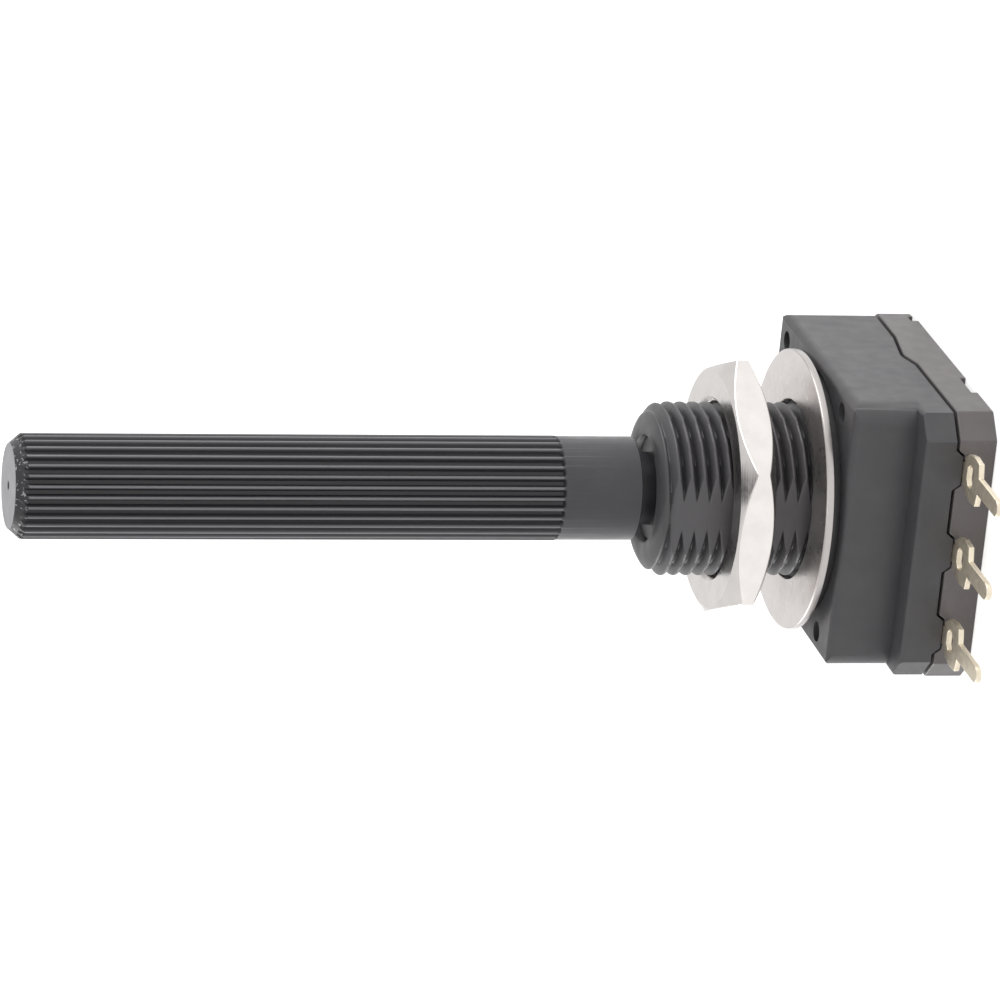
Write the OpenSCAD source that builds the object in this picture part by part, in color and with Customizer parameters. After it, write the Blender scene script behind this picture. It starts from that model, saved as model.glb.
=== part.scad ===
// Rotary potentiometer with a long knurled plastic shaft and a threaded bush.
// Origin: centre of the mounting face, the top of the boss that the washer lies on.
// +Z runs along the shaft to its tip, and the terminals leave the housing towards -Y.

/* [Shaft] */
// Diameter over the ridges of the knurl
knurl_d = 6.02; // [5.4:0.01:6.4]
// Number of straight ridges round the shaft
knurl_count = 30; // [18:1:40]
// Depth of the grooves between the ridges
knurl_depth = 0.28; // [0.15:0.01:0.4]
// Length of the knurled stretch, back from the tip
knurl_length = 31.5; // [10:0.5:32]
// Angle of one ridge from +X
knurl_turn = 2.2; // [0:0.1:12]
// Diameter of the smooth stretch and of the journal in the bush
shaft_d = 5.95; // [5.2:0.01:6.2]
// Height of the tip over the mounting face
shaft_reach = 45.9; // [43:0.1:60]
// Diameter of the flat tip face
tip_flat_d = 4.82; // [3:0.01:5]
// Length of the chamfer at the tip
tip_chamfer = 0.72; // [0.2:0.01:1.5]
// Diameter of the centre dimple in the tip
dimple_d = 0.6; // [0.3:0.05:1.2]
// Diameter of the neck in front of the bush
neck_d = 4.2; // [3:0.1:4.8]
// Length of the neck
neck_length = 1.1; // [0.6:0.05:1.6]
// How far the neck starts inside the mouth of the bush
neck_sink = 0.4; // [0.2:0.05:0.6]

/* [Bush] */
// Outer diameter of the thread
bush_d = 10; // [9.5:0.1:10.4]
// Length of the bush from the mounting face to its nose
bush_length = 9.1; // [8.5:0.1:10]
// Diameter of the flat end of the nose
nose_d = 7.2; // [6.9:0.1:8.6]
// Length of the rounded nose
nose_length = 1.1; // [0.4:0.05:1.4]
// Distance of the flat on the bush from the axis
bush_flat = 4.44; // [4:0.01:4.7]

/* [Housing] */
// Width of the housing along X
body_w = 16; // [15.6:0.1:17]
// Distance of the plain side from the axis
body_top = 8.27; // [8:0.01:9.5]
// Distance of the terminal side from the axis, in front of the ledge
body_low = 8; // [7.5:0.1:9]
// Thickness from the mounting face to the joint with the rear cover
body_depth = 6.1; // [6:0.05:6.5]
// Distance of the ledge over the terminals from the axis
ledge_low = 10; // [9.9:0.1:11]
// Depth of the ledge's shoulder below the mounting face
ledge_depth = 4.3; // [3.5:0.1:4.8]
// Diameter of the boss that carries the washer
boss_d = 14; // [12:0.1:14.4]
// Height of the boss over the front of the housing
boss_h = 0.6; // [0.4:0.01:1]
// Width of the groove round the boss
moat_w = 0.4; // [0.3:0.05:0.5]
// Depth of the groove round the boss
moat_depth = 0.3; // [0.1:0.05:0.4]
// Radius of the two plain corners
corner_r = 1; // [0.6:0.1:1.8]
// Radius of the two corners on the terminal side, in front of the ledge
low_corner_r = 1.2; // [0.3:0.1:1.5]
// Chamfer of the ledge's two corners
ledge_chamfer = 1.3; // [0.6:0.1:1.5]
// Radius along the front edges
edge_r = 0.55; // [0.1:0.05:0.6]
// Radius along the ledge's front edges
ledge_r = 0.25; // [0.1:0.05:0.6]
// Thickness of the front wall behind the boss
front_wall = 2.2; // [2:0.05:2.3]
// Least wall between the rotor's round chamber and the housing's sides
side_wall = 1.25; // [1.1:0.05:1.4]
// Distance of the four post holes from the housing's sides
post_inset = 1.3; // [1.05:0.01:1.4]
// Distance of the lower post holes from the axis along Y
post_low = 5.35; // [5:0.01:5.4]
// Distance of the upper post holes from the axis along Y
post_high = 6.5; // [5.8:0.01:6.9]
// Diameter of the post holes
post_hole_d = 1.2; // [0.8:0.05:1.3]

/* [Rear cover] */
// How far the cover stands out past the housing
cover_proud = 0.1; // [0:0.01:0.2]
// Thickness of the cover from the joint to its flat back
cover_depth = 2.35; // [2.3:0.05:3.5]
// Thickness of the cover's floor
cover_floor = 0.8; // [0.5:0.05:0.9]
// Gap that shows at the joint between housing and cover
joint_gap = 0.18; // [0.04:0.01:0.22]
// Height of the sloped step that the joint makes in each side
joint_step_h = 0.4; // [0.2:0.05:0.45]
// Depth of that step into the side
joint_step_w = 0.5; // [0.3:0.05:0.6]
// Depth of the two notches in the sides of the back edge
side_notch_depth = 0.35; // [0.1:0.05:0.6]
// Length of those notches along Y
side_notch_l = 2.3; // [1:0.1:3]
// Distance of those notches from the cover's terminal side
side_notch_inset = 4.4; // [2:0.1:6]
// Depth of the two steps at the plain end of the back
back_step_depth = 0.45; // [0.1:0.05:0.6]
// Length of those steps along Y
back_step_l = 1.97; // [1.5:0.01:3]
// Width of those steps along X
back_step_w = 2.4; // [1:0.1:4]
// Length of the small rib left in each step
back_rib_l = 0.8; // [0.4:0.1:1]
// Height of that rib
back_rib_h = 0.3; // [0.1:0.05:0.4]
// Depth at which the posts end below the front of the housing
post_sink = 0.8; // [0.3:0.1:2]

/* [Rotor] */
// Gap round the rotor disc, where its stop lug runs
rotor_gap = 0.9; // [0.85:0.05:1.1]
// Thickness of the rotor disc
rotor_t = 1.7; // [1.2:0.1:1.8]
// Angle that the shaft turns from stop to stop
turn_angle = 300; // [270:1:310]
// Angle taken up by the rotor's stop lug
lug_angle = 18; // [10:1:24]
// Diameter of the rear pivot
pivot_d = 2.4; // [2:0.1:2.5]

/* [Element board] */
// Thickness of the board
board_t = 0.9; // [0.6:0.05:1]
// Width of the ledge round the chamber that the board lies on
board_seat = 0.4; // [0.3:0.05:0.5]
// Depth of the board's seat in the housing
board_recess = 0.4; // [0.3:0.05:0.5]
// Thickness of the printed tracks
track_t = 0.06; // [0.03:0.01:0.1]
// Distance of the resistive track's middle line from the rotor's rim
track_inset = 0.6; // [0.5:0.05:0.8]
// Width of the resistive track
track_w = 1.4; // [1:0.1:1.6]
// Middle diameter of the collector ring
collector_mid_d = 4.2; // [4:0.1:4.6]
// Width of the collector ring
collector_w = 0.8; // [0.6:0.1:0.9]
// Width of the silver leads between tracks and rivets
lead_w = 0.9; // [0.6:0.1:1]
// Angle of the silver pad at each end of the resistive track
pad_angle = 18; // [8:1:20]
// Angle left open between the two pads
open_angle = 44; // [40:1:50]

/* [Terminals] */
// Distance between neighbouring terminals
pitch = 5; // [4.8:0.01:5.1]
// Thickness of the terminal strip
strip_t = 0.33; // [0.2:0.01:0.45]
// Distance of the pin tips from the axis
pin_reach = 16.6; // [15:0.1:20]
// Width of the solder pin
pin_w = 0.96; // [0.6:0.01:1.2]
// Width of the terminal's head
head_w = 2.7; // [2.5:0.1:3.4]
// Length of the terminal's head along Y
head_l = 2.5; // [2:0.1:3.5]
// How far the head and the pin sit to the right of the neck
head_shift = 0.15; // [0:0.01:0.3]
// Width of the terminal's neck in the cover
neck_w = 1.1; // [0.8:0.05:1.3]
// Length of the wire slot, across the head
slot_l = 1.25; // [1.1:0.05:1.8]
// Width of the wire slot
slot_w = 1.05; // [0.5:0.05:1.1]
// Distance of the rivets from the axis
rivet_y = 7.6; // [7.4:0.05:7.7]
// Diameter of the rivet's barrel
rivet_d = 1.4; // [1:0.05:1.4]
// Diameter of the rivet's heads
rivet_head_d = 2.2; // [1.8:0.05:2.2]

/* [Nut and washer] */
// Width of the nut across its flats
nut_af = 14; // [12:0.1:16]
// Thickness of the nut
nut_t = 2.1; // [1.5:0.1:3]
// Height of the nut's back over the mounting face
nut_z = 3.05; // [1.2:0.05:5]
// Angle of one corner of the nut from +X
nut_turn = -3.9; // [-30:0.1:30]
// Angle of the chamfer on the nut's corners
nut_chamfer_angle = 30; // [15:1:40]
// Outer diameter of the washer
washer_d = 16.2; // [14.5:0.1:18]
// Diameter of the washer's hole
washer_hole_d = 10.4; // [10.2:0.05:10.8]
// Thickness of the washer
washer_t = 0.45; // [0.3:0.05:1]

/* [Fits] */
// Radial clearance of the shaft in the bush and of the pivot in the cover
running_clearance = 0.06; // [0.03:0.01:0.1]
// Clearance between parts that are pressed or laid together
part_clearance = 0.1; // [0.05:0.01:0.15]
// Radial clearance between the nut and the bush
thread_clearance = 0.05; // [0.03:0.01:0.1]
// Gap between the wiper's fingers and the tracks
contact_gap = 0.05; // [0.02:0.01:0.1]

/* [Hidden] */
$fn = 96;
over = 0.5;                                    // how far a cutting shape runs past what it cuts
sliver = 0.01;                                 // overlap of cones and cylinders that continue each other

// Heights along the axis
front_z = -boss_h;
chamber_z = -front_wall;
joint_z = -body_depth;
back_z = joint_z - cover_depth;
board_front = joint_z + board_recess;
board_rear = board_front - board_t;
track_z = board_front + track_t;
rotor_front = chamber_z - part_clearance;
rotor_rear = rotor_front - rotor_t;
floor_z = back_z + cover_floor;
neck_back = bush_length - neck_sink;
neck_front = neck_back + neck_length;
knurl_back = shaft_reach - knurl_length;

// Housing and cover
bore_d = max(knurl_d, shaft_d) + 2 * running_clearance;
body_x = body_w / 2;
chamber_d = body_w - 2 * side_wall;
board_d = chamber_d + 2 * board_seat;
post_x = body_x - post_inset;
wall = 0.8;                                    // wall on the terminal side
rivet_margin = 0.2;                            // room round the rivets' heads
tongue_seat = 0.25;                            // width of the ledge round the board's tongue
pocket_x = pitch + rivet_head_d / 2 + rivet_margin;
pocket_low = rivet_y + rivet_head_d / 2 + rivet_margin;
lead_spread = 38;                              // half the angle in which the silver leads cross the wall
lead_top = chamber_d / 2 * cos(lead_spread);
post_holes = [for (x = [-post_x, post_x], y = [-post_low, post_high]) [x, y]];
post_d = post_hole_d - part_clearance;
tongue_x = pocket_x + tongue_seat;             // half the width of the board's tongue
tongue_low = ledge_low - wall - part_clearance;
tongue_top = rivet_y - rivet_head_d / 2 - rivet_margin;
post_wall = 0.45;                              // plastic between a post hole and the board
shoulder_x = post_x - post_hole_d / 2 - post_wall;
step_high = 3.7;                               // the joint's step starts here, along Y, is highest at
step_peak = 0.65;                              // its peak, and ends at step_low
step_low = -0.9;
step_chamfer = 0.15;                           // half the length of the step's flat peak
notch_reach = 1;                               // how far the cover's side notches run inwards
tab_base_w = 2.4;                              // tabs that close the cover's terminal notches
tab_tip_w = 1.65;
tab_l = joint_z - board_rear - part_clearance / 2;
rivet_pocket = 0.5;
pivot_gap = 0.15;                              // end play of the rear pivot
socket_wall = 1.1;                             // wall of the pivot's socket

// Rotor and wiper
rotor_d = chamber_d - 2 * rotor_gap;
track_mid_d = rotor_d - 2 * track_inset;
stop_clearance = 0.4;                          // angle left at each stop
stop_angle = 360 - turn_angle - lug_angle - 2 * stop_clearance;
stop_room = 0.15;                              // room between the fixed stop and the rotor's rim
stop_d = rotor_d + 2 * stop_room;
lug_room = 0.25;                               // room between the stop lug and the chamber's wall
lug_d = chamber_d - 2 * lug_room;
spring_t = 0.15;
spring_z = rotor_rear - spring_t / 2;
contact_z = track_z + contact_gap + spring_t / 2;
finger_w = 0.5;
finger_x = 0.45;
spring_w = 2.4;
spring_d = 6;
arm_root = 0.6;                                // how far an arm starts inside the spring's ring
bend = 0.2;                                    // short straight run at each bend of an arm
sag = 0.06;                                    // drop of an arm over its last bend
tip_run = 0.3;                                 // length and lift of the turned-up finger tips
tip_lift = 0.25;
peg_x = 2.35;
peg_d = 0.7;
peg_l = 0.45;
fold_y = track_mid_d / 2 + bend;

// Terminals and rivets
neck_l = 0.2;                                  // length of neck that shows between cover and head
head_y = ledge_low + neck_l;
slot_inset = 1.15;                             // from the head's root to the middle of the wire slot
slot_y = head_y + slot_inset;
slot_chamfer = 0.3;
shoulder_drop = 0.2;                           // slant of the head's shoulders towards the pin
terminal_x = [-pitch, 0, pitch];
rivet_head_t = 0.25;
rivet_bore_d = rivet_d / 2;

// A plate outline with two rounded corners at high Y and two at low Y, chamfered or rounded too
module plate_outline(half_w, low, high, low_corner, low_round) {
    polygon([
        [-half_w, low_corner - low], [low_corner - half_w, -low],
        [half_w - low_corner, -low], [half_w, low_corner - low],
        [half_w, high - corner_r], [half_w - corner_r, high],
        [corner_r - half_w, high], [-half_w, high - corner_r]
    ]);
    for (side = [-1, 1]) {
        translate([side * (half_w - corner_r), high - corner_r]) circle(corner_r);
        if (low_round) {
            translate([side * (half_w - low_corner), low_corner - low]) circle(low_corner);
        }
    }
}

// A side view of a block from low to high along x, with rounded front corners
module block_profile(low, high, back, front, r) {
    polygon([
        [low, back], [high, back], [high, front - r],
        [high - r, front], [low + r, front], [low, front - r]
    ]);
    translate([low + r, front - r]) circle(r);
    translate([high - r, front - r]) circle(r);
}

// A block with its front edges rounded, as the meeting of its three views
module soft_block(half_w, low, high, back, front, r, low_corner, low_round) {
    intersection() {
        translate([0, 0, back]) {
            linear_extrude(front - back) {
                plate_outline(half_w, low, high, low_corner, low_round);
            }
        }
        translate([0, high + over, 0]) {
            rotate([90, 0, 0]) {
                linear_extrude(low + high + 2 * over) {
                    block_profile(-half_w, half_w, back, front, r);
                }
            }
        }
        translate([-half_w - over, 0, 0]) {
            rotate([90, 0, 90]) {
                linear_extrude(2 * (half_w + over)) {
                    block_profile(-low, high, back, front, r);
                }
            }
        }
    }
}

// A flat ring, from its lower face up
module ring(outer_d, inner_d, z, h) {
    translate([0, 0, z]) {
        difference() {
            cylinder(d = outer_d, h = h);
            translate([0, 0, -over]) cylinder(d = inner_d, h = h + 2 * over);
        }
    }
}

// A flat sector of a ring between two angles, less than half a turn wide
module ring_sector(outer_d, inner_d, from, to) {
    reach = outer_d;
    middle = (from + to) / 2;
    difference() {
        intersection() {
            circle(d = outer_d);
            polygon([
                [0, 0], reach * [cos(from), sin(from)],
                reach * [cos(middle), sin(middle)], reach * [cos(to), sin(to)]
            ]);
        }
        circle(d = inner_d);
    }
}

// Outline of the element board: a disc with a tongue that carries the terminals
module board_outline(grow) {
    circle(d = board_d + 2 * grow);
    translate([-shoulder_x - grow, -tongue_top - grow]) {
        square([2 * (shoulder_x + grow), tongue_top]);
    }
    translate([-tongue_x - grow, -tongue_low - grow]) {
        square([2 * (tongue_x + grow), tongue_low - tongue_top + 2 * grow]);
    }
}

// Side view of a bent strip that follows a path
module bent_strip(path, t) {
    for (i = [0 : len(path) - 2]) {
        step = path[i + 1] - path[i];
        side = [-step[1], step[0]] / norm(step) * t / 2;
        polygon([path[i] + side, path[i + 1] + side, path[i + 1] - side, path[i] - side]);
    }
    for (i = [1 : len(path) - 2]) {
        translate(path[i]) circle(d = t);
    }
}

// Trapezoid that narrows towards the back, seen from the terminal side
module tab_outline(grow) {
    polygon([
        [-tab_base_w / 2 - grow, joint_z + over], [tab_base_w / 2 + grow, joint_z + over],
        [tab_base_w / 2 + grow, joint_z], [tab_tip_w / 2 + grow, joint_z - tab_l - grow],
        [-tab_tip_w / 2 - grow, joint_z - tab_l - grow], [-tab_base_w / 2 - grow, joint_z]
    ]);
}

// Wedge along the joint in one side: the housing is cut by it, and the cover rises into it
module joint_step(side, width, base_z, back) {
    start_x = side * body_x - (side > 0 ? width : over);
    translate([start_x, 0, 0]) {
        rotate([90, 0, 90]) {
            linear_extrude(width + over) {
                polygon([
                    [step_low, base_z - back], [step_high, base_z - back], [step_high, base_z],
                    [step_peak + step_chamfer, base_z + joint_step_h],
                    [step_peak - step_chamfer, base_z + joint_step_h], [step_low, base_z]
                ]);
            }
        }
    }
}

// The threaded bush, with its rounded nose and its flat
module bush() {
    nose_z = bush_length - nose_length;
    nose_r = (bush_d - nose_d) / 2;
    difference() {
        union() {
            translate([0, 0, front_z]) cylinder(d = bush_d, h = nose_z - front_z);
            rotate_extrude() {
                polygon([
                    [0, nose_z], [bush_d / 2, nose_z],
                    for (a = [15 : 15 : 75])
                        [nose_d / 2 + nose_r * cos(a), nose_z + nose_length * sin(a)],
                    [nose_d / 2, bush_length], [0, bush_length]
                ]);
            }
        }
        translate([-bush_d, -bush_flat - bush_d, 0]) {
            cube([2 * bush_d, bush_d, bush_length + over]);
        }
    }
}

module housing_shell() {
    difference() {
        soft_block(body_x, body_low, body_top, joint_z, front_z, edge_r, low_corner_r, true);
        difference() {
            translate([0, 0, front_z - moat_depth]) {
                cylinder(d = boss_d + 2 * moat_w, h = moat_depth + over);
            }
            translate([0, 0, front_z - 2 * moat_depth]) {
                cylinder(d = boss_d, h = 2 * moat_depth + 2 * over);
            }
        }
    }
    soft_block(body_x, ledge_low, 0, joint_z, -ledge_depth, ledge_r, ledge_chamfer, false);
    translate([0, 0, front_z - over]) cylinder(d = boss_d, h = boss_h + over);
    bush();
}

// The chamber for the rotor, open to the back, round the fixed stop
module chamber() {
    difference() {
        translate([0, 0, board_front - over]) {
            cylinder(d = chamber_d, h = chamber_z - board_front + over);
        }
        translate([0, 0, rotor_rear - part_clearance]) {
            linear_extrude(chamber_z - rotor_rear + part_clearance + over) {
                ring_sector(chamber_d + 2 * over, stop_d, 270 - stop_angle / 2, 270 + stop_angle / 2);
            }
        }
    }
}

module housing() {
    color("#4b4a4d") {
        difference() {
            housing_shell();
            translate([0, 0, chamber_z - over]) {
                cylinder(d = bore_d, h = bush_length - chamber_z + 2 * over);
            }
            chamber();
            translate([0, 0, joint_z - over]) {
                linear_extrude(board_recess + over) board_outline(part_clearance);
            }
            translate([-pocket_x, -pocket_low, board_front - over]) {
                cube([2 * pocket_x, pocket_low - tongue_top, rivet_pocket + over]);
            }
            translate([-pitch, -pocket_low, board_front - over]) {
                cube([2 * pitch, pocket_low - lead_top, rivet_pocket + over]);
            }
            for (place = post_holes) {
                translate([place[0], place[1], joint_z - over]) {
                    cylinder(d = post_hole_d, h = body_depth + 2 * over, $fn = 32);
                }
            }
            for (side = [-1, 1]) joint_step(side, joint_step_w, joint_z, over);
        }
        for (x = terminal_x) {
            translate([x, -tongue_low - part_clearance, 0]) {
                rotate([90, 0, 0]) {
                    linear_extrude(wall) {
                        intersection() {
                            tab_outline(0);
                            translate([-tab_base_w, joint_z - 2 * tab_l]) {
                                square([2 * tab_base_w, 2 * tab_l + board_recess / 2]);
                            }
                        }
                    }
                }
            }
        }
    }
}

module rear_cover() {
    cover_front = joint_z - joint_gap;
    cover_x = body_x + cover_proud;
    step_y = body_top + cover_proud - back_step_l;
    color("#554e50") {
        difference() {
            translate([0, 0, back_z]) {
                linear_extrude(cover_front - back_z) {
                    plate_outline(cover_x, ledge_low, body_top + cover_proud, ledge_chamfer, false);
                }
            }
            translate([0, 0, board_rear]) {
                linear_extrude(board_t + over) board_outline(part_clearance);
            }
            translate([0, 0, floor_z]) {
                linear_extrude(board_rear - floor_z + over) {
                    circle(d = chamber_d - 2 * board_seat);
                    translate([-pocket_x, -pocket_low]) {
                        square([2 * pocket_x, pocket_low - tongue_top]);
                    }
                }
            }
            for (x = terminal_x) {
                translate([x, -tongue_low + over, 0]) {
                    rotate([90, 0, 0]) linear_extrude(wall + 2 * over) tab_outline(part_clearance);
                }
                translate([x - neck_w / 2 - part_clearance / 2, -ledge_low - over,
                           board_rear - strip_t - part_clearance / 2]) {
                    cube([neck_w + part_clearance, ledge_low - pocket_low + 2 * over,
                          strip_t + part_clearance + over / 2]);
                }
            }
            for (side = [-1, 1]) {
                translate([side * cover_x - notch_reach, side_notch_inset - ledge_low, back_z - over]) {
                    cube([2 * notch_reach, side_notch_l, over + side_notch_depth]);
                }
                difference() {
                    translate([side * cover_x - back_step_w, step_y, back_z - over]) {
                        cube([2 * back_step_w, 2 * back_step_l, over + back_step_depth]);
                    }
                    translate([side * cover_x - 2 * back_step_w, step_y + back_step_l / 3,
                               back_z + back_step_depth - back_rib_h]) {
                        cube([4 * back_step_w, back_rib_l, 2 * back_rib_h]);
                    }
                }
            }
        }
        intersection() {
            translate([-cover_x, -ledge_low, cover_front - over]) {
                cube([2 * cover_x, 2 * ledge_low, 2 * over + joint_step_h]);
            }
            for (side = [-1, 1]) {
                joint_step(side, joint_step_w - part_clearance, cover_front, over);
            }
        }
        for (place = post_holes) {
            translate([place[0], place[1], board_rear]) {
                cylinder(d = post_d, h = front_z - post_sink - board_rear, $fn = 32);
            }
        }
        difference() {
            translate([0, 0, floor_z - cover_floor / 2]) {
                cylinder(d = pivot_d + 2 * socket_wall,
                         h = board_rear - floor_z + cover_floor / 2 - pivot_gap);
            }
            translate([0, 0, floor_z]) {
                cylinder(d = pivot_d + 2 * running_clearance, h = board_rear - floor_z);
            }
        }
    }
}

// Straight ridges round the shaft, trimmed by the chamfer of the tip
module knurl() {
    step = 360 / knurl_count;
    land = step / 8;
    ridge_r = knurl_d / 2;
    groove_r = ridge_r - knurl_depth;
    intersection() {
        translate([0, 0, knurl_back]) {
            linear_extrude(knurl_length) {
                polygon([
                    for (i = [0 : knurl_count - 1], p = [
                        [ridge_r, -land], [ridge_r, land],
                        [groove_r, step / 2 - land], [groove_r, step / 2 + land]
                    ]) p[0] * [cos(knurl_turn + i * step + p[1]), sin(knurl_turn + i * step + p[1])]
                ]);
            }
        }
        rotate_extrude() {
            polygon([
                [0, 0], [knurl_d, 0], [knurl_d, shaft_reach - 2 * tip_chamfer],
                [knurl_d / 2 + (knurl_d - tip_flat_d) / 2, shaft_reach - 2 * tip_chamfer],
                [tip_flat_d / 2, shaft_reach], [0, shaft_reach]
            ]);
        }
    }
}

module rotor_shaft() {
    color("#46454b") {
        difference() {
            knurl();
            translate([0, 0, shaft_reach - dimple_d / 3]) {
                cylinder(d1 = dimple_d / 6, d2 = dimple_d, h = dimple_d / 3 + sliver, $fn = 24);
            }
        }
        translate([0, 0, neck_front]) cylinder(d = shaft_d, h = knurl_back - neck_front + sliver);
        translate([0, 0, neck_back - over]) cylinder(d = neck_d, h = neck_length + 2 * over);
        translate([0, 0, rotor_rear + over]) cylinder(d = shaft_d, h = neck_back - rotor_rear - over);
        translate([0, 0, rotor_rear]) cylinder(d = rotor_d, h = rotor_t);
        translate([0, 0, rotor_rear]) {
            linear_extrude(rotor_t) {
                ring_sector(lug_d, rotor_d / 2, 90 - lug_angle / 2, 90 + lug_angle / 2);
            }
        }
        translate([0, 0, floor_z + pivot_gap]) cylinder(d = pivot_d, h = rotor_rear - floor_z);
        for (side = [-1, 1]) {
            translate([side * peg_x, 0, rotor_rear - peg_l]) {
                cylinder(d = peg_d, h = peg_l + over, $fn = 24);
            }
        }
    }
}

module wiper_spring() {
    outer_arm = [
        [spring_d / 2 - arm_root, spring_z], [spring_d / 2 - bend, spring_z],
        [track_mid_d / 2 - bend, contact_z + sag], [track_mid_d / 2, contact_z],
        [track_mid_d / 2 + tip_run, contact_z + tip_lift]
    ];
    inner_arm = [
        [tip_run - fold_y, spring_z], [-fold_y, spring_z], [-fold_y, spring_z - tip_run],
        [-collector_mid_d / 2 - bend, contact_z + sag], [-collector_mid_d / 2, contact_z],
        [tip_run - collector_mid_d / 2, contact_z + tip_lift]
    ];
    color("#c9a24b") {
        translate([0, 0, rotor_rear - spring_t]) {
            linear_extrude(spring_t) {
                difference() {
                    union() {
                        circle(d = spring_d);
                        translate([-spring_w / 2, tip_run - fold_y]) square([spring_w, fold_y]);
                    }
                    circle(d = pivot_d + 2 * part_clearance);
                    for (side = [-1, 1]) {
                        translate([side * peg_x, 0]) circle(d = peg_d + part_clearance, $fn = 24);
                    }
                }
            }
        }
        for (side = [-1, 1], path = [outer_arm, inner_arm]) {
            translate([side * finger_x - finger_w / 2, 0, 0]) {
                rotate([90, 0, 90]) linear_extrude(finger_w) bent_strip(path, spring_t);
            }
        }
    }
}

module resistive_board() {
    color("#7a4a2a") {
        translate([0, 0, board_rear]) {
            linear_extrude(board_t) {
                difference() {
                    board_outline(0);
                    circle(d = pivot_d + 4 * part_clearance);
                    for (x = terminal_x) {
                        translate([x, -rivet_y]) circle(d = rivet_d + part_clearance, $fn = 32);
                    }
                }
            }
        }
    }
}

module printed(shade) {
    color(shade) {
        translate([0, 0, board_front]) linear_extrude(track_t) children();
    }
}

module carbon_track() {
    half = 180 - open_angle / 2 - pad_angle;
    printed("#1d1c1e") {
        for (side = [-1, 1], part = [0, 1]) {
            from = 90 + side * part * half / 2;
            to = 90 + side * (part + 1) * half / 2;
            ring_sector(track_mid_d + track_w, track_mid_d - track_w, min(from, to), max(from, to));
        }
    }
}

module collector_track() {
    printed("#b9b7b0") {
        difference() {
            circle(d = collector_mid_d + collector_w);
            circle(d = collector_mid_d - collector_w);
        }
        difference() {
            union() {
                translate([-lead_w / 2, -rivet_y]) square([lead_w, rivet_y - collector_mid_d / 2]);
                translate([0, -rivet_y]) circle(d = rivet_head_d);
            }
            translate([0, -rivet_y]) circle(d = rivet_d + part_clearance, $fn = 32);
        }
    }
}

// The silver pad at one end of the resistive track, with its lead to the rivet
module end_pad(side) {
    inner = 270 + side * open_angle / 2;
    outer = inner + side * pad_angle;
    start = track_mid_d / 2 * [cos(inner + side * pad_angle / 3), sin(inner + side * pad_angle / 3)];
    finish = [side * pitch, -rivet_y];
    lead = finish - start;
    printed("#c4c2bb") {
        ring_sector(track_mid_d + track_w, track_mid_d - track_w, min(inner, outer),
                    max(inner, outer));
        difference() {
            union() {
                translate(start) {
                    rotate(atan2(lead[1], lead[0])) {
                        translate([0, -lead_w / 2]) square([norm(lead), lead_w]);
                    }
                }
                translate(finish) circle(d = rivet_head_d);
            }
            translate(finish) circle(d = rivet_d + part_clearance, $fn = 32);
        }
    }
}

module left_end_pad() { end_pad(-1); }
module right_end_pad() { end_pad(1); }

// One terminal: a round eye under the rivet, a neck, a head with the wire slot, and the pin
module terminal(x) {
    tip_y = pin_w / 2 - pin_reach;
    // half the width, and the distance from the head's root, as shares of its width and length
    curve = [[0.28, 0], [0.43, 0.26], [0.5, 0.6], [0.47, 1]];
    left_edge = [
        [-neck_w / 2, -rivet_y], [-neck_w / 2, -head_y],
        for (p = curve) [head_shift - p[0] * head_w, -head_y - p[1] * head_l],
        [head_shift - pin_w / 2, -head_y - head_l - shoulder_drop], [head_shift - pin_w / 2, tip_y]
    ];
    right_edge = [
        [head_shift + pin_w / 2, tip_y], [head_shift + pin_w / 2, -head_y - head_l - shoulder_drop],
        for (i = [len(curve) - 1 : -1 : 0])
            [head_shift + curve[i][0] * head_w, -head_y - curve[i][1] * head_l],
        [neck_w / 2, -head_y], [neck_w / 2, -rivet_y]
    ];
    half_l = slot_l / 2;
    half_w = slot_w / 2;
    color("#b3a68f") {
        translate([x, 0, board_rear - strip_t]) {
            linear_extrude(strip_t) {
                difference() {
                    union() {
                        translate([0, -rivet_y]) circle(d = rivet_head_d + part_clearance);
                        polygon([
                            each left_edge,
                            for (a = [-160 : 20 : -20])
                                [head_shift + pin_w / 2 * cos(a), tip_y + pin_w / 2 * sin(a)],
                            each right_edge
                        ]);
                    }
                    translate([0, -rivet_y]) circle(d = rivet_d + part_clearance, $fn = 32);
                    translate([head_shift, -slot_y]) {
                        polygon([
                            [-half_l, slot_chamfer - half_w], [slot_chamfer - half_l, -half_w],
                            [half_l - slot_chamfer, -half_w], [half_l, slot_chamfer - half_w],
                            [half_l, half_w - slot_chamfer], [half_l - slot_chamfer, half_w],
                            [slot_chamfer - half_l, half_w], [-half_l, half_w - slot_chamfer]
                        ]);
                    }
                }
            }
        }
    }
}

module left_terminal() { terminal(-pitch); }
module centre_terminal() { terminal(0); }
module right_terminal() { terminal(pitch); }

// A hollow rivet that clamps track, board and terminal together
module rivet(x) {
    low = board_rear - strip_t - rivet_head_t;
    high = track_z + rivet_head_t;
    color("#cdb77a") {
        translate([x, -rivet_y, 0]) {
            difference() {
                union() {
                    translate([0, 0, low]) cylinder(d = rivet_d, h = high - low);
                    translate([0, 0, low]) cylinder(d = rivet_head_d, h = rivet_head_t);
                    translate([0, 0, track_z]) cylinder(d = rivet_head_d, h = rivet_head_t);
                }
                translate([0, 0, low - over]) cylinder(d = rivet_bore_d, h = high - low + 2 * over);
            }
        }
    }
}

module left_rivet() { rivet(-pitch); }
module centre_rivet() { rivet(0); }
module right_rivet() { rivet(pitch); }

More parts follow.
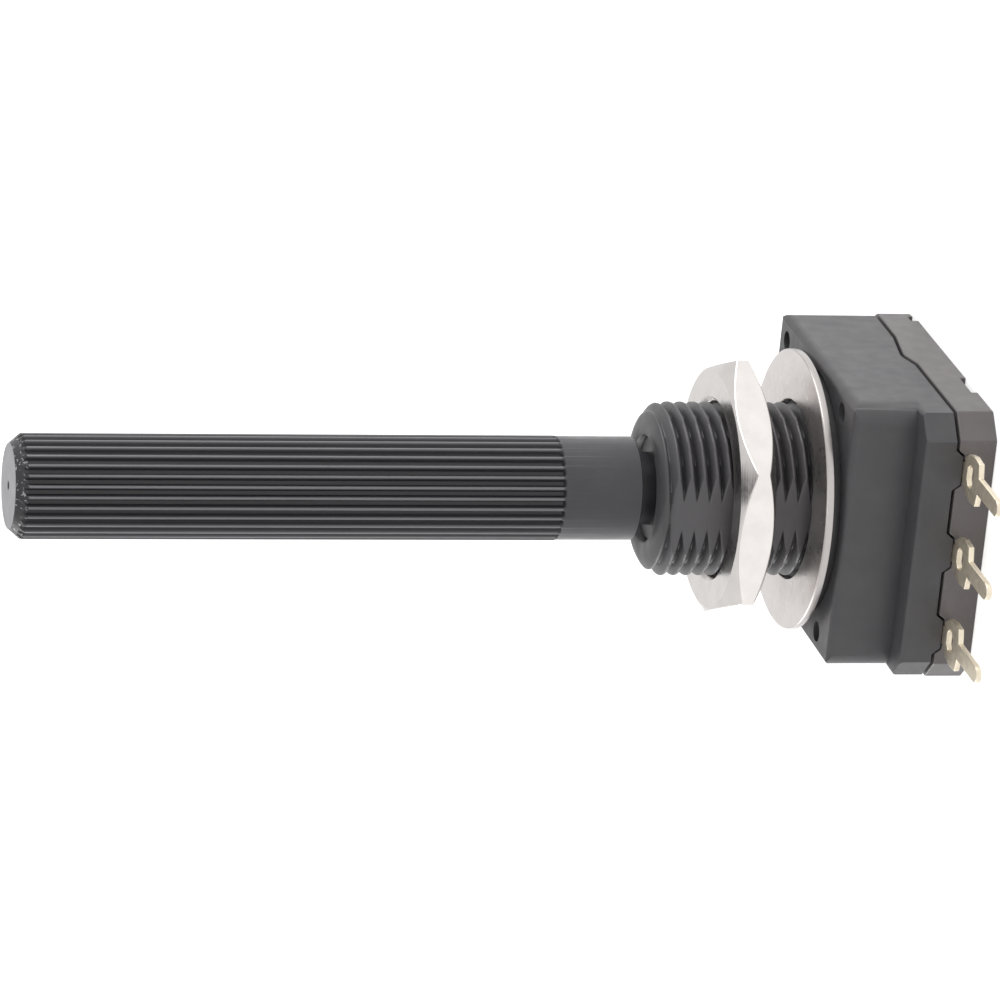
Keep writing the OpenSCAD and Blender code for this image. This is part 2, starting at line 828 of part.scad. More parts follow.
// The nut, with both rims chamfered and its bore countersunk
module hex_nut() {
    sink = 0.3;                                  // countersink of the bore
    corner_r = nut_af / sqrt(3);
    face_r = nut_af / 2 - sink / 2;
    rim_r = corner_r + sink / 6;                 // just clear of the corners
    drop = min((rim_r - face_r) * tan(nut_chamfer_angle), 0.45 * nut_t);
    bore_r = bush_d / 2 + thread_clearance;
    color("#d9d3cd") {
        translate([0, 0, nut_z]) {
            difference() {
                intersection() {
                    rotate(nut_turn) cylinder(r = corner_r, h = nut_t, $fn = 6);
                    rotate_extrude() {
                        polygon([
                            [0, 0], [face_r, 0], [rim_r, drop],
                            [rim_r, nut_t - drop], [face_r, nut_t], [0, nut_t]
                        ]);
                    }
                }
                translate([0, 0, -over]) cylinder(r = bore_r, h = nut_t + 2 * over);
                translate([0, 0, nut_t - sink]) {
                    cylinder(r1 = bore_r, r2 = bore_r + sink + sliver, h = sink + sliver);
                }
                translate([0, 0, -sliver]) {
                    cylinder(r1 = bore_r + sink + sliver, r2 = bore_r, h = sink + sliver);
                }
            }
        }
    }
}

module washer() {
    color("#d6d0ca") ring(washer_d, washer_hole_d, 0, washer_t);
}

housing();
rear_cover();
rotor_shaft();
wiper_spring();
resistive_board();
carbon_track();
collector_track();
left_end_pad();
right_end_pad();
left_terminal();
centre_terminal();
right_terminal();
left_rivet();
centre_rivet();
right_rivet();
hex_nut();
washer();
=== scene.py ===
"""Looks of a panel potentiometer: threaded bush, knurled shaft, nut, washer and slotted terminals.

The part stands on the flat back of its rear cover with the shaft up. Sizes are in millimetres in
this script and become metres in the meshes. Only the lamps' places and their size are in metres.
Angles are measured from +X towards +Y.
"""
import math

import bmesh
import bpy
import numpy as np
from mathutils import Matrix


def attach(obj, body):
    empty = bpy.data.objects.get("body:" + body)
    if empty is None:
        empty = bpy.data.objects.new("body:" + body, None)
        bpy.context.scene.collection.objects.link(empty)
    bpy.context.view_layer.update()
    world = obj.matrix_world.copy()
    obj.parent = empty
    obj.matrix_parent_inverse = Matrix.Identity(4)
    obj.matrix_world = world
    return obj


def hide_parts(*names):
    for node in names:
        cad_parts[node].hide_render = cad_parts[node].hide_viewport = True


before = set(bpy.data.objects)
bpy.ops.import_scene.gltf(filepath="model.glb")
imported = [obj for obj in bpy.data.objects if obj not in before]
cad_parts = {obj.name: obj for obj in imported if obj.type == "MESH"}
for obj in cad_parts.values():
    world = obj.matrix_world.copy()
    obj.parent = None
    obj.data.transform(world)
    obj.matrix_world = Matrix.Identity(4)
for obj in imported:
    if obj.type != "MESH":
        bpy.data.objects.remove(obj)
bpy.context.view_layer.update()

MM = 0.001

# Sizes shared with the construction
BUSH_R = 5.0
BUSH_LENGTH = 9.1
BORE_R = 3.06
NOSE_R = 3.6
NOSE_LENGTH = 1.1
FLAT_DISTANCE = 4.44
SHAFT_R = 2.975
KNURL_R = 3.01
KNURL_DEPTH = 0.28
KNURL_COUNT = 30
KNURL_TURN = math.radians(2.2)
KNURL_BACK = 14.4
TIP_Z = 45.9
TIP_CHAMFER = 0.72
TIP_FLAT_R = 2.41
NECK_R = 2.1
NECK_BACK = 8.7
NECK_FRONT = 9.8
ROTOR_FRONT = -2.3
ROTOR_REAR = -4.0
ROTOR_R = 5.85
LUG_R = 6.5
LUG_HALF = math.radians(9)
ROTOR_COLUMNS = KNURL_COUNT * 16
PIVOT_R = 1.2
PIVOT_END = -7.5
PEG_X = 2.35
PEG_R = 0.35
PEG_LENGTH = 0.45
WASHER_R = 8.1
WASHER_HOLE_R = 5.2
WASHER_T = 0.45

# The housing's solid is cut off over the mounting face, and the threaded bush starts under the cut
HOUSING_CUT_Z = 0.02
BUSH_FOOT_Z = 0.012

# The floor lies 0.02 under the cover's back, so that the two faces don't coincide
FLOOR_Z = -8.47

# The lamps' size and the point that they face, in metres
LAMP_SIZE = 0.5
LAMP_TARGET = (0, 0, 0.02)

# Thread: its pitch, the height of a crest at one angle, and the depth of its groove
PITCH = 0.75
CREST_Z = 8.39
CREST_ANGLE = math.radians(21.2)
THREAD_DEPTH = 0.5


# Camera and stage

def place_camera():
    """The photograph's camera: tilted to the tip and turned about the shaft, with +X on top."""
    tip_tilt = math.radians(13.857)
    side_turn = math.radians(21.358)
    roll = 0.003
    place = (130.63, -335.99, 106.42)
    focal_px = 6500
    photo_px = 1000
    sensor = 36.0
    back = np.array([math.cos(tip_tilt) * math.sin(side_turn),
                     -math.cos(tip_tilt) * math.cos(side_turn), math.sin(tip_tilt)])
    level = np.array([math.sin(tip_tilt) * math.sin(side_turn),
                      -math.sin(tip_tilt) * math.cos(side_turn), -math.cos(tip_tilt)])
    upright = np.array([math.cos(side_turn), math.sin(side_turn), 0.0])
    right = math.cos(roll) * level + math.sin(roll) * upright
    up = math.cos(roll) * upright - math.sin(roll) * level
    data = bpy.data.cameras.new("camera")
    data.sensor_width = sensor
    data.lens = sensor * focal_px / photo_px
    data.clip_start = 0.01
    data.clip_end = 20
    camera = bpy.data.objects.new("camera", data)
    bpy.context.collection.objects.link(camera)
    pose = np.eye(4)
    pose[:3, 0], pose[:3, 1], pose[:3, 2] = right, up, back
    pose[:3, 3] = np.array(place) * MM
    camera.matrix_world = Matrix(pose.tolist())
    bpy.context.scene.camera = camera


def seen_directly(nodes, links):
    """1 for camera, glossy and transmission rays, and 0 for the rays that light the object."""
    path = nodes.new("ShaderNodeLightPath")
    seen = path.outputs["Is Camera Ray"]
    for ray in ("Is Glossy Ray", "Is Transmission Ray"):
        either = nodes.new("ShaderNodeMath")
        either.operation = "MAXIMUM"
        links.new(seen, either.inputs[0])
        links.new(path.outputs[ray], either.inputs[1])
        seen = either.outputs[0]
    return seen


def light_world():
    """White where it is seen, a soft grey where it lights."""
    ambient = 0.62
    world = bpy.data.worlds.new("studio")
    world.use_nodes = True
    nodes, links = world.node_tree.nodes, world.node_tree.links
    nodes.clear()
    seen = seen_directly(nodes, links)
    soft = nodes.new("ShaderNodeBackground")
    soft.inputs["Color"].default_value = (1, 1, 1, 1)
    soft.inputs["Strength"].default_value = ambient
    white = nodes.new("ShaderNodeBackground")
    white.inputs["Color"].default_value = (1, 1, 1, 1)
    white.inputs["Strength"].default_value = 1
    mix = nodes.new("ShaderNodeMixShader")
    out = nodes.new("ShaderNodeOutputWorld")
    links.new(seen, mix.inputs[0])
    links.new(soft.outputs[0], mix.inputs[1])
    links.new(white.outputs[0], mix.inputs[2])
    links.new(mix.outputs[0], out.inputs[0])
    bpy.context.scene.world = world


def lay_floor():
    """A large pale floor under the rear cover, white to the camera and still taking the shadow."""
    half = 1500 * MM
    glow = 0.6
    z = FLOOR_Z * MM
    mesh = bpy.data.meshes.new("floor")
    mesh.from_pydata([(-half, -half, z), (half, -half, z), (half, half, z), (-half, half, z)], [],
                     [(0, 1, 2, 3)])
    floor = bpy.data.objects.new("floor", mesh)
    bpy.context.collection.objects.link(floor)
    paint = bpy.data.materials.new("floor_white")
    paint.use_nodes = True
    nodes, links = paint.node_tree.nodes, paint.node_tree.links
    nodes.clear()
    seen = seen_directly(nodes, links)
    matt = nodes.new("ShaderNodeBsdfDiffuse")
    matt.inputs["Color"].default_value = (0.85, 0.85, 0.85, 1)
    shine = nodes.new("ShaderNodeEmission")
    strength = nodes.new("ShaderNodeMath")
    strength.operation = "MULTIPLY"
    strength.inputs[1].default_value = glow
    links.new(seen, strength.inputs[0])
    links.new(strength.outputs[0], shine.inputs["Strength"])
    both = nodes.new("ShaderNodeAddShader")
    out = nodes.new("ShaderNodeOutputMaterial")
    links.new(matt.outputs[0], both.inputs[0])
    links.new(shine.outputs[0], both.inputs[1])
    links.new(both.outputs[0], out.inputs[0])
    mesh.materials.append(paint)


def add_lamp(name, place, power):
    """A square soft lamp at place, in metres, that faces the middle of the part."""
    data = bpy.data.lights.new(name, "AREA")
    data.shape = "SQUARE"
    data.size = LAMP_SIZE
    data.energy = power
    lamp = bpy.data.objects.new(name, data)
    bpy.context.collection.objects.link(lamp)
    away = np.array(place, float) - np.array(LAMP_TARGET, float)
    away /= np.linalg.norm(away)
    side = np.cross((0, 0, 1), away)
    side /= np.linalg.norm(side)
    pose = np.eye(4)
    pose[:3, 0], pose[:3, 1], pose[:3, 2] = side, np.cross(away, side), away
    pose[:3, 3] = place
    lamp.matrix_world = Matrix(pose.tolist())


# Materials

class Finish:
    """A node material on Object coordinates in millimetres, with one Principled shader."""

    def __init__(self, name, colour, metallic, roughness):
        self.material = bpy.data.materials.new(name)
        self.material.use_nodes = True
        self.nodes = self.material.node_tree.nodes
        self.links = self.material.node_tree.links
        self.shader = self.nodes["Principled BSDF"]
        self.shader.inputs["Base Color"].default_value = (*colour, 1)
        self.shader.inputs["Metallic"].default_value = metallic
        self.shader.inputs["Roughness"].default_value = roughness
        self.colour = colour
        self.roughness = roughness
        where = self.nodes.new("ShaderNodeTexCoord")
        scale = self.nodes.new("ShaderNodeMapping")
        scale.inputs["Scale"].default_value = (1 / MM, 1 / MM, 1 / MM)
        self.links.new(where.outputs["Object"], scale.inputs["Vector"])
        self.place = scale.outputs["Vector"]
        self.tone = None
        self.normal = None

    def noise(self, size, detail, stretch=(1, 1, 1)):
        """Noise whose features are about size millimetres across, times stretch on each axis."""
        scale = self.nodes.new("ShaderNodeMapping")
        scale.inputs["Scale"].default_value = tuple(1 / s for s in stretch)
        self.links.new(self.place, scale.inputs["Vector"])
        grain = self.nodes.new("ShaderNodeTexNoise")
        grain.inputs["Scale"].default_value = 1 / size
        grain.inputs["Detail"].default_value = detail
        self.links.new(scale.outputs["Vector"], grain.inputs["Vector"])
        return grain.outputs["Fac"]

    def spread(self, value, low, high, darkest, lightest):
        """Maps value from low..high to darkest..lightest."""
        step = self.nodes.new("ShaderNodeMapRange")
        step.inputs["From Min"].default_value = low
        step.inputs["From Max"].default_value = high
        step.inputs["To Min"].default_value = darkest
        step.inputs["To Max"].default_value = lightest
        self.links.new(value, step.inputs["Value"])
        return step.outputs["Result"]

    def along(self, axis):
        """Position along an axis in millimetres."""
        split = self.nodes.new("ShaderNodeSeparateXYZ")
        self.links.new(self.place, split.inputs["Vector"])
        return split.outputs[axis]

    def axis_distance(self):
        """Distance from the shaft's axis in millimetres."""
        level = self.nodes.new("ShaderNodeVectorMath")
        level.operation = "MULTIPLY"
        level.inputs[1].default_value = (1, 1, 0)
        length = self.nodes.new("ShaderNodeVectorMath")
        length.operation = "LENGTH"
        self.links.new(self.place, level.inputs[0])
        self.links.new(level.outputs["Vector"], length.inputs[0])
        return length.outputs["Value"]

    def product(self, first, second):
        """Product of two values."""
        times = self.nodes.new("ShaderNodeMath")
        times.operation = "MULTIPLY"
        self.links.new(first, times.inputs[0])
        self.links.new(second, times.inputs[1])
        return times.outputs["Value"]

    def shade(self, value, other):
        """Mixes the colour so far with another one by value."""
        mix = self.nodes.new("ShaderNodeMix")
        mix.data_type = "RGBA"
        if self.tone is None:
            mix.inputs["A"].default_value = (*self.colour, 1)
        else:
            self.links.new(self.tone, mix.inputs["A"])
        mix.inputs["B"].default_value = (*other, 1)
        self.links.new(value, mix.inputs["Factor"])
        self.tone = mix.outputs["Result"]
        self.links.new(self.tone, self.shader.inputs["Base Color"])

    def mottle(self, size, low, high, other):
        """Patches of another colour: full where noise of that size is over high, none under low."""
        self.shade(self.spread(self.noise(size, 3), low, high, 0, 1), other)

    def dull(self, value, change):
        """Varies the roughness by change, up and down with value."""
        uneven = self.spread(value, 0.3, 0.7, self.roughness - change, self.roughness + change)
        self.links.new(uneven, self.shader.inputs["Roughness"])

    def bump(self, value, depth, strength):
        """Raises the surface by depth millimetres where value is 1."""
        bump = self.nodes.new("ShaderNodeBump")
        bump.inputs["Distance"].default_value = depth * MM
        bump.inputs["Strength"].default_value = strength
        self.links.new(value, bump.inputs["Height"])
        if self.normal is not None:
            self.links.new(self.normal, bump.inputs["Normal"])
        self.normal = bump.outputs["Normal"]
        self.links.new(self.normal, self.shader.inputs["Normal"])

    def turned(self, spacing):
        """Fine rings round the axis, about spacing millimetres apart, as left by a lathe."""
        rings = self.nodes.new("ShaderNodeTexWave")
        rings.wave_type = "RINGS"
        rings.rings_direction = "Z"
        rings.inputs["Scale"].default_value = 1 / (math.pi * spacing)
        rings.inputs["Distortion"].default_value = 0.6
        rings.inputs["Detail"].default_value = 3
        self.links.new(self.place, rings.inputs["Vector"])
        return rings.outputs["Fac"]


def darker(colour, share):
    """The colour times share."""
    return tuple(share * part for part in colour)


def moulded_plastic(name, colour, other, roughness):
    """Satin moulded plastic: a faint mottle, uneven gloss and a fine spark-eroded grain."""
    finish = Finish(name, colour, 0.0, roughness)
    finish.mottle(2.2, 0.35, 0.65, other)
    finish.dull(finish.noise(0.9, 3), 0.05)
    finish.bump(finish.noise(0.09, 2), 0.006, 0.5)
    finish.bump(finish.noise(1.6, 2), 0.012, 0.4)
    return finish.material


def bush_plastic():
    """The housing's plastic on the bush; painted shade darkens the nose and, most, the thread's
    grooves.
    """
    finish = Finish("bush_plastic", (0.073, 0.070, 0.074), 0.0, 0.42)
    finish.mottle(2.2, 0.35, 0.65, (0.080, 0.076, 0.080))
    # Painted shade: the thread's grooves are darkened, except on the flat and past the thread's end
    groove = finish.spread(finish.axis_distance(), BUSH_R - 0.42, BUSH_R - 0.12, 1, 0)
    off_flat = finish.spread(finish.along("Y"), -FLAT_DISTANCE + 0.01, -FLAT_DISTANCE + 0.06, 0, 1)
    threaded = finish.spread(finish.along("Z"), BUSH_LENGTH - 1, BUSH_LENGTH - 0.7, 1, 0)
    painted_groove_shade = finish.product(finish.product(groove, off_flat), threaded)
    finish.shade(painted_groove_shade, (0.023, 0.022, 0.024))
    # Painted shade: darker over the last half millimetre of the nose, to take down its light
    nose = finish.spread(finish.along("Z"), BUSH_LENGTH - 0.9, BUSH_LENGTH - 0.5, 0, 1)
    finish.shade(nose, (0.052, 0.050, 0.053))
    finish.dull(finish.noise(0.9, 3), 0.05)
    finish.bump(finish.noise(0.09, 2), 0.005, 0.5)
    return finish.material


def shaft_plastic():
    """The shaft: painted shade in grooves, neck, chamfer; painted highlights on ridges, specks;
    pale tip.
    """
    finish = Finish("slate_plastic", (0.042, 0.041, 0.046), 0.0, 0.36)
    finish.shader.inputs["Specular IOR Level"].default_value = 0.4
    finish.mottle(2.2, 0.35, 0.65, (0.048, 0.047, 0.052))
    from_axis = finish.axis_distance()
    along = finish.along("Z")
    chamfer_back = TIP_Z - TIP_CHAMFER
    below_tip = finish.spread(along, chamfer_back, chamfer_back + 0.1, 1, 0)
    # Painted shade: dark in the knurl's grooves, and at three quarters strength nearer the axis
    # behind the knurl, as in the neck
    groove = finish.spread(from_axis, KNURL_R - KNURL_DEPTH + 0.03, KNURL_R - 0.14, 1, 0)
    past_neck = finish.spread(along, KNURL_BACK - 0.1, KNURL_BACK, 0.75, 1)
    painted_groove_shade = finish.product(finish.product(groove, below_tip), past_neck)
    finish.shade(painted_groove_shade, (0.013, 0.0125, 0.015))
    knurled = finish.spread(along, KNURL_BACK, KNURL_BACK + 0.1, 0, 1)
    # Painted highlight: the knurl's crests are paler
    ridge = finish.spread(from_axis, KNURL_R - 0.1, KNURL_R - 0.03, 0, 1)
    finish.shade(finish.product(ridge, knurled), (0.16, 0.158, 0.166))
    # Painted shade over the tip's chamfer, at 80 percent
    cone = finish.spread(along, chamfer_back, chamfer_back + 0.05, 0, 0.8)
    finish.shade(cone, (0.022, 0.022, 0.024))
    # Painted highlights: pale specks on the chamfer where the ridges end
    ridge_end_glints = finish.spread(finish.noise(0.2, 1), 0.62, 0.68, 0, 0.8)
    finish.shade(finish.product(ridge_end_glints, cone), (0.45, 0.45, 0.46))
    tip_face = finish.spread(along, TIP_Z - 0.03, TIP_Z - 0.02, 0, 1)
    finish.shade(tip_face, (0.27, 0.265, 0.28))
    finish.dull(finish.noise(0.9, 3), 0.05)
    finish.bump(finish.noise(0.09, 2), 0.004, 0.5)
    return finish.material


def nickel_plate(name, colour, roughness, turned):
    """Bright nickel plating: turned work has lathe rings, rolled sheet a darker sheared rim."""
    finish = Finish(name, colour, 1.0, roughness)
    finish.mottle(1.3, 0.35, 0.7, darker(colour, 0.92))
    if not turned:
        rim = finish.spread(finish.axis_distance(), WASHER_R - 0.06, WASHER_R - 0.03, 0, 1)
        finish.shade(rim, darker(colour, 0.58))
    finish.dull(finish.noise(0.35, 3), 0.05)
    finish.bump(finish.noise(0.12, 2), 0.002, 0.4)
    if turned:
        finish.bump(finish.turned(0.11), 0.003, 0.5)
    return finish.material


def tinned_brass():
    """Stamped terminal strip: dull yellowish plating with darker patches and uneven gloss."""
    finish = Finish("tinned_brass", (0.74, 0.67, 0.54), 1.0, 0.46)
    finish.mottle(0.5, 0.35, 0.7, (0.63, 0.56, 0.45))
    finish.dull(finish.noise(0.3, 3), 0.06)
    return finish.material


def yellow_metal(name, colour, roughness):
    """Bare copper alloy with faint tarnish."""
    finish = Finish(name, colour, 1.0, roughness)
    finish.mottle(0.6, 0.4, 0.7, darker(colour, 0.7))
    finish.bump(finish.noise(0.1, 2), 0.003, 0.5)
    return finish.material


def board_laminate():
    """Brown paper laminate, with fibres along X."""
    finish = Finish("board_laminate", (0.21, 0.10, 0.045), 0.0, 0.5)
    fibre = (4, 1, 1)
    fibres = finish.spread(finish.noise(0.4, 4, fibre), 0.35, 0.65, 0, 1)
    finish.shade(fibres, (0.15, 0.07, 0.03))
    finish.bump(finish.noise(0.15, 2, fibre), 0.01, 0.5)
    return finish.material


def printed_ink(name, colour, metallic, roughness):
    """Screen-printed film with a fine grain."""
    finish = Finish(name, colour, metallic, roughness)
    finish.mottle(0.2, 0.4, 0.7, darker(colour, 0.75))
    finish.bump(finish.noise(0.05, 2), 0.004, 0.6)
    return finish.material


# Shapes

def circle_angles(count, start=0.0):
    """count angles that go once round, from start."""
    return start + np.arange(count) * (2 * math.pi / count)


def round_grid(radius, z, angles):
    """Points (r cos a, r sin a, z) for radius and z given for each row, or each row and column."""
    radius = np.broadcast_to(radius, np.broadcast_shapes(np.shape(radius), (1, len(angles))))
    z = np.broadcast_to(z, radius.shape)
    return np.stack([radius * np.cos(angles), radius * np.sin(angles), z], axis=-1)


def add_piece(name, verts, faces, finish, body, sharp=35.0):
    """A smooth-shaded mesh piece with its place in its mesh, sharp where faces meet steeply."""
    mesh = bpy.data.meshes.new(name)
    mesh.from_pydata((verts * MM).tolist(), [], faces)
    mesh.validate()
    mesh.shade_smooth()
    mesh.set_sharp_from_angle(angle=math.radians(sharp))
    mesh.materials.append(finish)
    piece = bpy.data.objects.new(name, mesh)
    bpy.context.collection.objects.link(piece)
    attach(piece, body)
    return piece


def grid_quads(rows, cols, close_rows):
    """Corners of the quads between neighbouring rows and columns; the columns go all round."""
    last = rows if close_rows else rows - 1
    r = np.arange(last)[:, None]
    c = np.arange(cols)[None, :]
    r2 = (r + 1) % rows
    c2 = (c + 1) % cols
    corners = [r * cols + c, r * cols + c2, r2 * cols + c2, r2 * cols + c]
    return np.stack(corners, axis=-1).reshape(-1, 4).tolist()


def ring_surface(points):
    """A closed surface from rows that close into a loop, such as a ring."""
    rows, cols = points.shape[:2]
    return points.reshape(-1, 3), grid_quads(rows, cols, True)


def capped_surface(points):
    """A closed surface from rows between two poles, which are the middles of the end rows."""
    rows, cols = points.shape[:2]
    poles = [points[:1].mean(axis=1), points[-1:].mean(axis=1)]
    verts = np.concatenate([points.reshape(-1, 3), *poles])
    faces = grid_quads(rows, cols, False)
    low_pole = rows * cols
    high_pole = low_pole + 1
    last_row = (rows - 1) * cols
    faces += [[low_pole, (c + 1) % cols, c] for c in range(cols)]
    faces += [[high_pole, last_row + c, last_row + (c + 1) % cols] for c in range(cols)]
    return verts, faces


def ease(x):
    """3x^2 - 2x^3 between 0 and 1: a step with soft shoulders."""
    x = np.clip(x, 0, 1)
    return x * x * (3 - 2 * x)


def thread_cut(angle, z):
    """Depth of a V groove: nothing on the crest's land, straight flanks, full on the root's land.

    The crest climbs one pitch for each turn of the angle, so the thread is right-handed. The cut
    runs out towards the end of the nose.
    """
    crest_land = 0.14
    root_land = 0.05
    run_out_end = BUSH_LENGTH - 0.1
    run_out_length = 0.6
    turn = (z - CREST_Z) / PITCH - (angle - CREST_ANGLE) / (2 * math.pi)
    away = 2 * np.abs(turn - np.round(turn))
    flank = np.clip((away - crest_land) / (1 - crest_land - root_land), 0, 1)
    run_out = ease((run_out_end - z) / run_out_length)
    return THREAD_DEPTH * run_out * flank


def nose_radius(z):
    """A quarter of an ellipse from the thread's crest down to the nose's flat end."""
    rise = np.clip((z - (BUSH_LENGTH - NOSE_LENGTH)) / NOSE_LENGTH, 0, 1)
    return NOSE_R + (BUSH_R - NOSE_R) * np.sqrt(1 - rise ** 2)


def threaded_bush(finish):
    """The outside follows min(nose - thread's cut, flat); the inside is the plain bore.

    The flat is the plane y = -FLAT_DISTANCE, whose radius is FLAT_DISTANCE / cos(a + 90 deg).
    """
    angles = circle_angles(288)
    rows_per_pitch = 16
    close_rows_length = 0.08
    to_end = np.array([0.07, 0.04, 0.015, 0.0])
    climb = np.arange(BUSH_FOOT_Z, BUSH_LENGTH - close_rows_length, PITCH / rows_per_pitch)
    z = np.concatenate([climb, BUSH_LENGTH - to_end])[:, None]
    facing = np.cos(angles + math.pi / 2)
    flat = np.where(facing > 0.5, FLAT_DISTANCE / np.maximum(facing, 0.5), BUSH_R)
    outer = np.minimum(nose_radius(z) - thread_cut(angles, z), flat)
    mouth = 0.12
    inner_z = np.array([BUSH_LENGTH, BUSH_LENGTH - mouth, BUSH_LENGTH / 2, BUSH_FOOT_Z])[:, None]
    inner_r = np.array([BORE_R + mouth, BORE_R, BORE_R, BORE_R])[:, None]
    points = np.concatenate([round_grid(outer, z, angles), round_grid(inner_r, inner_z, angles)])
    verts, faces = ring_surface(points)
    piece = add_piece("threaded_bush", verts, faces, finish, "body", 50)
    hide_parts("housing")


def knurl_radius(angle):
    """Straight ridges: r = R on a ridge's land, easing down to R - depth on a groove's land."""
    ridge_land = 0.13
    groove_land = 0.4
    turn = (angle - KNURL_TURN) * KNURL_COUNT / (2 * math.pi)
    away = 2 * np.abs(turn - np.round(turn))
    return KNURL_R - KNURL_DEPTH * ease((away - ridge_land) / (1 - ridge_land - groove_land))


def knurled_shaft(finish):
    """Rows of radius and height from the rear pivot over disc, journal and neck to the tip.

    The radius is a constant on round stretches and knurl_radius on the ridges, and the chamfer is
    min(ridges, cone). The lug is one column of the grid narrower than the solid's on each side, so
    that its sloped flanks stay inside the solid's.
    """
    angles = circle_angles(ROTOR_COLUMNS, KNURL_TURN)
    column = 2 * math.pi / ROTOR_COLUMNS
    from_lug = np.abs(np.angle(np.exp(1j * (angles - math.pi / 2))))
    rim = np.where(from_lug < LUG_HALF - column, LUG_R, ROTOR_R)
    soft = 0.07
    rise_back = KNURL_BACK - 0.12
    rise_length = 0.16
    rows = [
        (PIVOT_R, PIVOT_END), (PIVOT_R, ROTOR_REAR), (rim, ROTOR_REAR), (rim, ROTOR_FRONT),
        (SHAFT_R, ROTOR_FRONT), (SHAFT_R, NECK_BACK - soft), (SHAFT_R - soft, NECK_BACK),
        (NECK_R, NECK_BACK), (NECK_R, NECK_FRONT), (SHAFT_R - soft, NECK_FRONT),
        (SHAFT_R, NECK_FRONT + soft), (SHAFT_R, rise_back)
    ]
    ridges = knurl_radius(angles)
    for share in (0.25, 0.5, 0.75, 1.0):
        rows.append((SHAFT_R + (ridges - SHAFT_R) * ease(share), rise_back + rise_length * share))
    draft = 0.02
    ridge_back = KNURL_BACK + 0.06
    chamfer_back = TIP_Z - TIP_CHAMFER
    for share in np.linspace(0, 1, 12):
        rows.append((ridges - draft * share, ridge_back + (chamfer_back - ridge_back) * share))
    for share in np.linspace(0.06, 1, 12):
        cone = KNURL_R + (TIP_FLAT_R - KNURL_R) * share
        rows.append((np.minimum(ridges - draft, cone), chamfer_back + TIP_CHAMFER * share))
    dimple = [(0.32, TIP_Z), (0.26, TIP_Z - 0.05), (0.12, TIP_Z - 0.16)]
    rows += dimple
    radius = np.stack([np.broadcast_to(r, angles.shape) for r, z in rows])
    z = np.array([z for r, z in rows])[:, None]
    verts, faces = capped_surface(round_grid(radius, z, angles))
    piece = add_piece("knurled_shaft", verts, faces, finish, "rotor", 32)
    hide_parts("rotor_shaft")


def spring_pegs(finish):
    """Two chamfered cylinders under the rotor that hold the wiper spring."""
    angles = circle_angles(24)
    chamfer = 0.06
    root = 0.1
    end = ROTOR_REAR - PEG_LENGTH
    rows_r = np.array([PEG_R - chamfer, PEG_R, PEG_R])[:, None]
    rows_z = np.array([end, end + chamfer, ROTOR_REAR + root])[:, None]
    for side, name in ((-1, "left_peg"), (1, "right_peg")):
        points = round_grid(rows_r, rows_z, angles)
        points[..., 0] += side * PEG_X
        verts, faces = capped_surface(points)
        add_piece(name, verts, faces, finish, "rotor")


def flat_washer(finish):
    """A ring whose section is a rectangle with quarter-round corners, larger ones in front."""
    angles = circle_angles(180)
    quarter = np.linspace(0, math.pi / 2, 5)
    front = 0.09
    back = 0.04
    corners = [
        (WASHER_R - back, back, back, -math.pi / 2),
        (WASHER_R - front, WASHER_T - front, front, 0),
        (WASHER_HOLE_R + front, WASHER_T - front, front, math.pi / 2),
        (WASHER_HOLE_R + back, back, back, math.pi)
    ]
    r = np.concatenate([r0 + size * np.cos(start + quarter) for r0, z0, size, start in corners])
    z = np.concatenate([z0 + size * np.sin(start + quarter) for r0, z0, size, start in corners])
    verts, faces = ring_surface(round_grid(r[:, None], z[:, None], angles))
    piece = add_piece("flat_washer", verts, faces, finish, "body", 40)
    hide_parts("washer")


def softened_copy(node, name, finish, body, width=None, sharp=30.0, cut_z=None):
    """A copy of a node's solid with merged corners, flat faces joined and edges rounded by width.

    Edges steeper than sharp degrees stay sharp. cut_z keeps only what lies below that height, and
    closes the ring-shaped cut.
    """
    flat_angle = 0.4
    bevel_angle = 28
    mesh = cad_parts[node].data.copy()
    mesh.name = name
    shape = bmesh.new()
    shape.from_mesh(mesh)
    bmesh.ops.remove_doubles(shape, verts=shape.verts, dist=1e-7)
    if cut_z is not None:
        everything = shape.verts[:] + shape.edges[:] + shape.faces[:]
        bmesh.ops.bisect_plane(shape, geom=everything, dist=1e-8, plane_co=(0, 0, cut_z * MM),
                               plane_no=(0, 0, 1), clear_outer=True)
        rim = [edge for edge in shape.edges if edge.is_boundary]
        bmesh.ops.triangle_fill(shape, edges=rim, use_beauty=True, normal=(0, 0, 1))
    bmesh.ops.dissolve_limit(shape, angle_limit=math.radians(flat_angle), verts=shape.verts,
                             edges=shape.edges)
    bmesh.ops.recalc_face_normals(shape, faces=shape.faces)
    shape.to_mesh(mesh)
    shape.free()
    mesh.shade_smooth()
    mesh.set_sharp_from_angle(angle=math.radians(sharp))
    mesh.materials.clear()
    mesh.materials.append(finish)
    piece = bpy.data.objects.new(name, mesh)
    bpy.context.collection.objects.link(piece)
    if width:
        bevel = piece.modifiers.new("soft_edges", "BEVEL")
        bevel.width = width * MM
        bevel.segments = 3
        bevel.limit_method = "ANGLE"
        bevel.angle_limit = math.radians(bevel_angle)
        bevel.use_clamp_overlap = False
    shading = piece.modifiers.new("flat_faces", "WEIGHTED_NORMAL")
    shading.keep_sharp = True
    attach(piece, body)
    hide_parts(node)


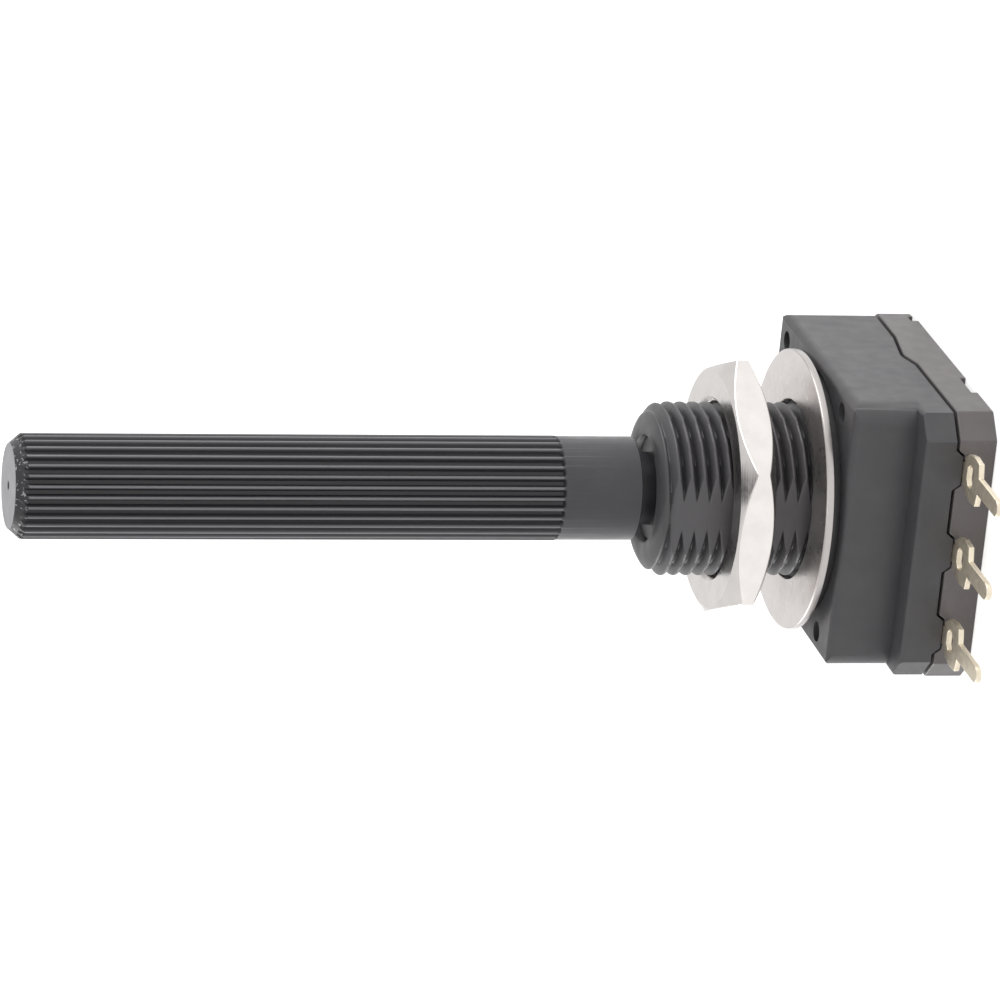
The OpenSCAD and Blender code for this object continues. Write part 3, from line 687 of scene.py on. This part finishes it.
def paint_node(node, finish):
    """Gives a node's own solid a finish."""
    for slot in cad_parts[node].material_slots:
        slot.material = finish


# The potentiometer

def dress_part():
    """Makes every finish, then gives each piece its shape and finish."""
    charcoal = moulded_plastic("charcoal_plastic", (0.050, 0.049, 0.053), (0.060, 0.058, 0.061),
                               0.42)
    umber = moulded_plastic("umber_plastic", (0.128, 0.115, 0.116), (0.115, 0.104, 0.105), 0.40)
    slate = shaft_plastic()
    turned_nickel = nickel_plate("turned_nickel", (0.66, 0.63, 0.61), 0.22, True)
    rolled_nickel = nickel_plate("rolled_nickel", (0.70, 0.66, 0.64), 0.32, False)
    tin = tinned_brass()
    bronze = yellow_metal("spring_bronze", (0.72, 0.50, 0.24), 0.28)
    brass = yellow_metal("rivet_brass", (0.72, 0.58, 0.32), 0.3)
    laminate = board_laminate()
    carbon = printed_ink("carbon_ink", (0.016, 0.016, 0.017), 0.0, 0.5)
    silver = printed_ink("silver_ink", (0.60, 0.59, 0.56), 1.0, 0.45)

    softened_copy("housing", "housing_moulding", charcoal, "body",
                  sharp=14, cut_z=HOUSING_CUT_Z)
    threaded_bush(bush_plastic())
    softened_copy("rear_cover", "rear_cover_moulding", umber, "body", 0.07)
    knurled_shaft(slate)
    spring_pegs(slate)
    softened_copy("hex_nut", "plated_nut", turned_nickel, "nut", 0.05)
    flat_washer(rolled_nickel)
    for side in ("left", "centre", "right"):
        softened_copy(f"{side}_terminal", f"{side}_solder_terminal", tin, "body",
                      0.05)
        paint_node(f"{side}_rivet", brass)
    paint_node("wiper_spring", bronze)
    paint_node("resistive_board", laminate)
    paint_node("carbon_track", carbon)
    for node in ("collector_track", "left_end_pad", "right_end_pad"):
        paint_node(node, silver)


place_camera()
light_world()
lay_floor()
add_lamp("top_softbox", (0.56, 0.12, 0.12), 2.8)
add_lamp("front_softbox", (0.1, -0.7, 0.35), 0.85)
add_lamp("low_softbox", (-0.65, 0.08, 0.12), 3.3)
dress_part()

bpy.context.scene.view_settings.view_transform = "Standard"
